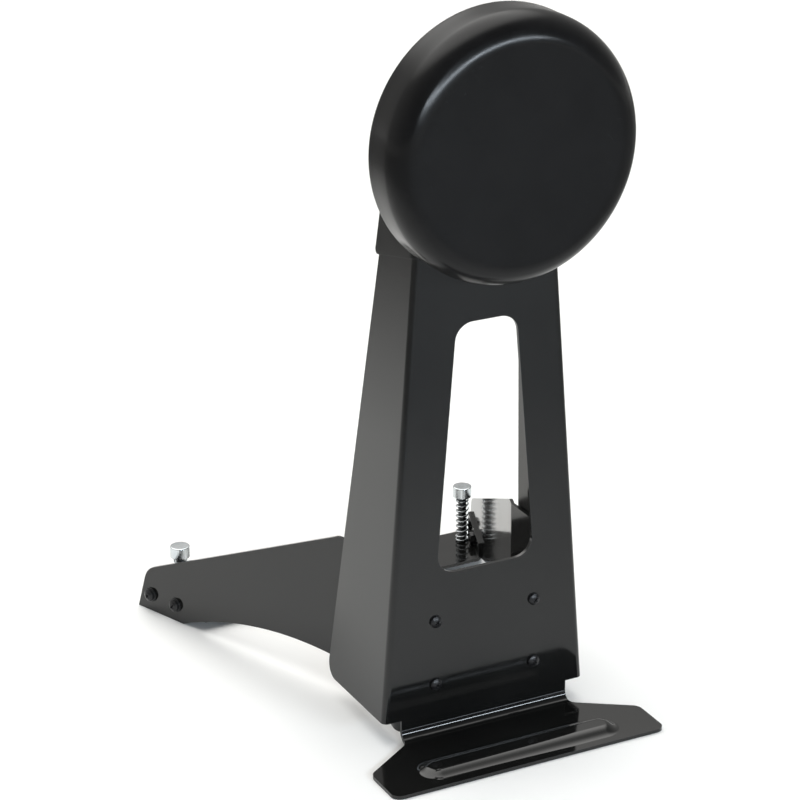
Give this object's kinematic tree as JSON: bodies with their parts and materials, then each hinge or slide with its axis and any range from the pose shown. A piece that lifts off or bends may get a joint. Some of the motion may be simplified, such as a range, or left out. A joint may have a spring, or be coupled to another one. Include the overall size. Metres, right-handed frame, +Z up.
{
  "type": "bass drum kick pad",
  "caption": "Free-standing kick drum practice pad: round rubber pad on a folded black steel tower with a pedal plate, splayed legs and sprung floor anchor screws.",
  "frame": {"origin": "on the floor, in the middle of the object's width and midway between the pedal plate's front edge and the legs' rear ends", "axes": "+Z up, -Y towards the player and the pedal, +X to the right as seen from the player"},
  "size_m": [0.2642, 0.3246, 0.4693],
  "materials": {
    "stand_paint": "glossy black powder coat",
    "black_fastener": "satin black oxide",
    "bright_chrome": "bright plated",
    "pad_rubber": "satin matte",
    "foam_grey": "closed-cell foam",
    "foam_black": "open-cell foam",
    "sensor_steel": "zinc plated",
    "piezo_brass": "bare",
    "shell_plastic": "fine grain",
    "jack_plastic": "smooth",
    "lead_sheath": "smooth"
  },
  "bodies": {
    "stand": {"stand_frame": "stand_paint", "left_leg": "stand_paint", "right_leg": "stand_paint", "rear_cross_plate": "stand_paint", "head_bracket": "stand_paint", "pad_cover": "pad_rubber", "pad_foam": "foam_grey", "sensor_plate": "sensor_steel", "piezo_sensor": "piezo_brass", "isolation_ring": "foam_black", "back_shell": "shell_plastic", "output_jack": "jack_plastic", "jack_nut": "bright_chrome", "sensor_lead": "lead_sheath", "face_screws": "black_fastener", "face_nuts": "black_fastener", "leg_screws": "black_fastener", "leg_washers": "black_fastener", "leg_nuts": "black_fastener", "bracket_screws": "black_fastener", "bracket_nuts": "black_fastener", "head_screws": "black_fastener", "left_anchor_spring": "bright_chrome", "right_anchor_spring": "bright_chrome", "anchor_nuts": "bright_chrome"},
    "left_anchor_carrier": {"left_spring_washer": "bright_chrome"},
    "left_anchor": {"left_anchor_screw": "bright_chrome"},
    "right_anchor_carrier": {"right_spring_washer": "bright_chrome"},
    "right_anchor": {"right_anchor_screw": "bright_chrome"}
  },
  "joints": [
    {"name": "left_anchor_travel", "type": "slide", "parent": "stand", "child": "left_anchor_carrier", "axis": [0, 0, -1], "range_m": [0, 0.01], "deforming": ["left_anchor_spring"]},
    {"name": "left_anchor_turn", "type": "hinge", "parent": "left_anchor_carrier", "child": "left_anchor", "pos_m": [-0.1098, 0.13642, 0.0457], "axis": [0, 0, -1], "range_deg": [0, 3600]},
    {"name": "right_anchor_travel", "type": "slide", "parent": "stand", "child": "right_anchor_carrier", "axis": [0, 0, -1], "range_m": [0, 0.01], "deforming": ["right_anchor_spring"]},
    {"name": "right_anchor_turn", "type": "hinge", "parent": "right_anchor_carrier", "child": "right_anchor", "pos_m": [0.1098, 0.13642, 0.0457], "axis": [0, 0, -1], "range_deg": [0, 3600]}
  ],
  "couplings": [
    {"joint": "left_anchor_travel", "follows": "left_anchor_turn", "m_per_rad": 0.00015915},
    {"joint": "right_anchor_travel", "follows": "right_anchor_turn", "m_per_rad": 0.00015915}
  ]
}
